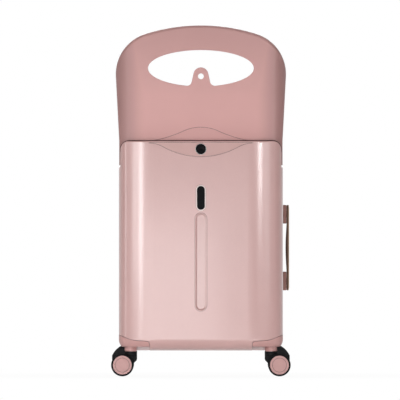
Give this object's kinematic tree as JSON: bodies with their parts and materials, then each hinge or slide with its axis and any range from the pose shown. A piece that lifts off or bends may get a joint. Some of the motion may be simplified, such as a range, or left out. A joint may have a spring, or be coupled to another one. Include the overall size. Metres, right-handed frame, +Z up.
{
  "type": "ride-on suitcase",
  "caption": "Upright hard-shell child's ride-on suitcase with a fold-over seat lid, trolley handle, side carry handle and swivelling casters.",
  "frame": {"origin": "on the floor, under the middle of the whole object", "axes": "+X to the viewer's right, -Y out of the front face, +Z up"},
  "size_m": [0.383, 0.281, 0.7484],
  "materials": {
    "shell_pink": "satin pearl pink",
    "lid_pink": "matt rose pink",
    "plate_pink": "pale satin pink",
    "pink_plastic": "moulded pink",
    "black_gloss": "polished black",
    "black_plastic": "fine grained black",
    "black_tyre": "smooth tread",
    "steel": "plated",
    "aluminium_tube": "brushed",
    "brown_leather": "dark back",
    "tan_leather": "fine grain, sewn edge",
    "zip_fabric": "woven tape",
    "lining_fabric": "plain weave",
    "webbing": "ribbed webbing"
  },
  "bodies": {
    "rear_half": {"rear_shell": "shell_pink", "seat_support": "pink_plastic", "trolley_bezel": "black_plastic", "trolley_sleeves": "aluminium_tube", "trolley_foot": "black_plastic", "lid_catch_stud": "black_plastic", "side_handle_mounts": "pink_plastic", "case_hinge_pins": "steel", "zip_sliders": "steel", "packing_straps": "webbing", "rear_hinge_leaves": "pink_plastic", "rear_zip_tape": "zip_fabric", "rear_lining": "lining_fabric", "rear_bracket_screws": "steel", "rear_left_bracket": "pink_plastic", "rear_right_bracket": "pink_plastic"},
    "front_half": {"front_shell": "shell_pink", "lip_plate": "plate_pink", "button_housing": "black_plastic", "button_spring": "steel", "front_plaque": "black_gloss", "channel_trim": "plate_pink", "lid_hinge_brackets": "pink_plastic", "lid_hinge_pins": "steel", "front_hinge_leaves": "pink_plastic", "front_zip_tape": "zip_fabric", "front_lining": "lining_fabric", "front_bracket_screws": "steel", "front_left_bracket": "pink_plastic", "front_right_bracket": "pink_plastic"},
    "lid": {"seat_lid": "lid_pink", "lid_cover_plate": "lid_pink"},
    "front_button": {"push_button": "black_gloss"},
    "trolley_middle": {"trolley_middle_tubes": "aluminium_tube"},
    "trolley_top": {"trolley_inner_tubes": "aluminium_tube", "trolley_grip": "black_plastic"},
    "handle_button": {"grip_button": "black_gloss"},
    "side_handle": {"side_handle_strap": "brown_leather", "side_handle_cover": "tan_leather"},
    "front_left_swivel": {"front_left_fork": "black_plastic", "front_left_swivel_pin": "steel"},
    "front_left_wheels": {"front_left_axle": "steel", "front_left_hubs": "pink_plastic", "front_left_tyres": "black_tyre"},
    "front_right_swivel": {"front_right_fork": "black_plastic", "front_right_swivel_pin": "steel"},
    "front_right_wheels": {"front_right_axle": "steel", "front_right_hubs": "pink_plastic", "front_right_tyres": "black_tyre"},
    "rear_left_swivel": {"rear_left_fork": "black_plastic", "rear_left_swivel_pin": "steel"},
    "rear_left_wheels": {"rear_left_axle": "steel", "rear_left_hubs": "pink_plastic", "rear_left_tyres": "black_tyre"},
    "rear_right_swivel": {"rear_right_fork": "black_plastic", "rear_right_swivel_pin": "steel"},
    "rear_right_wheels": {"rear_right_axle": "steel", "rear_right_hubs": "pink_plastic", "rear_right_tyres": "black_tyre"}
  },
  "joints": [
    {"name": "case_opening", "type": "hinge", "parent": "rear_half", "child": "front_half", "pos_m": [-0.171, -0.0275, 0.25], "axis": [0, 0, -1], "range_deg": [0, 100]},
    {"name": "lid_fold", "type": "hinge", "parent": "front_half", "child": "lid", "pos_m": [0, -0.0865, 0.474], "axis": [-1, 0, 0], "range_deg": [0, 90]},
    {"name": "front_button_press", "type": "slide", "parent": "front_half", "child": "front_button", "axis": [0, 1, 0], "range_m": [0, 0.0025], "stiffness_N_per_m": 400, "deforming": ["button_spring"]},
    {"name": "trolley_lower_stage", "type": "slide", "parent": "rear_half", "child": "trolley_middle", "axis": [0, 0, 1], "range_m": [0, 0.27]},
    {"name": "trolley_upper_stage", "type": "slide", "parent": "trolley_middle", "child": "trolley_top", "axis": [0, 0, 1], "range_m": [0, 0.27]},
    {"name": "grip_button_press", "type": "slide", "parent": "trolley_top", "child": "handle_button", "axis": [0, 0, -1], "range_m": [0, 0.004], "stiffness_N_per_m": 500},
    {"name": "side_handle_pull", "type": "slide", "parent": "rear_half", "child": "side_handle", "axis": [1, 0, 0], "range_m": [0, 0.018]},
    {"name": "front_left_caster_swivel", "type": "hinge", "parent": "front_half", "child": "front_left_swivel", "pos_m": [-0.15, -0.0925, 0.0526], "axis": [0, 0, 1], "continuous": true},
    {"name": "front_left_wheel_roll", "type": "hinge", "parent": "front_left_swivel", "child": "front_left_wheels", "pos_m": [-0.1675, -0.0925, 0.024], "axis": [0, 1, 0], "continuous": true},
    {"name": "front_right_caster_swivel", "type": "hinge", "parent": "front_half", "child": "front_right_swivel", "pos_m": [0.15, -0.0925, 0.0526], "axis": [0, 0, 1], "continuous": true},
    {"name": "front_right_wheel_roll", "type": "hinge", "parent": "front_right_swivel", "child": "front_right_wheels", "pos_m": [0.1675, -0.0925, 0.024], "axis": [0, 1, 0], "continuous": true},
    {"name": "rear_left_caster_swivel", "type": "hinge", "parent": "rear_half", "child": "rear_left_swivel", "pos_m": [-0.15, 0.0955, 0.0526], "axis": [0, 0, 1], "continuous": true},
    {"name": "rear_left_wheel_roll", "type": "hinge", "parent": "rear_left_swivel", "child": "rear_left_wheels", "pos_m": [-0.1675, 0.0955, 0.024], "axis": [0, 1, 0], "continuous": true},
    {"name": "rear_right_caster_swivel", "type": "hinge", "parent": "rear_half", "child": "rear_right_swivel", "pos_m": [0.15, 0.0955, 0.0526], "axis": [0, 0, 1], "continuous": true},
    {"name": "rear_right_wheel_roll", "type": "hinge", "parent": "rear_right_swivel", "child": "rear_right_wheels", "pos_m": [0.1675, 0.0955, 0.024], "axis": [0, 1, 0], "continuous": true}
  ]
}
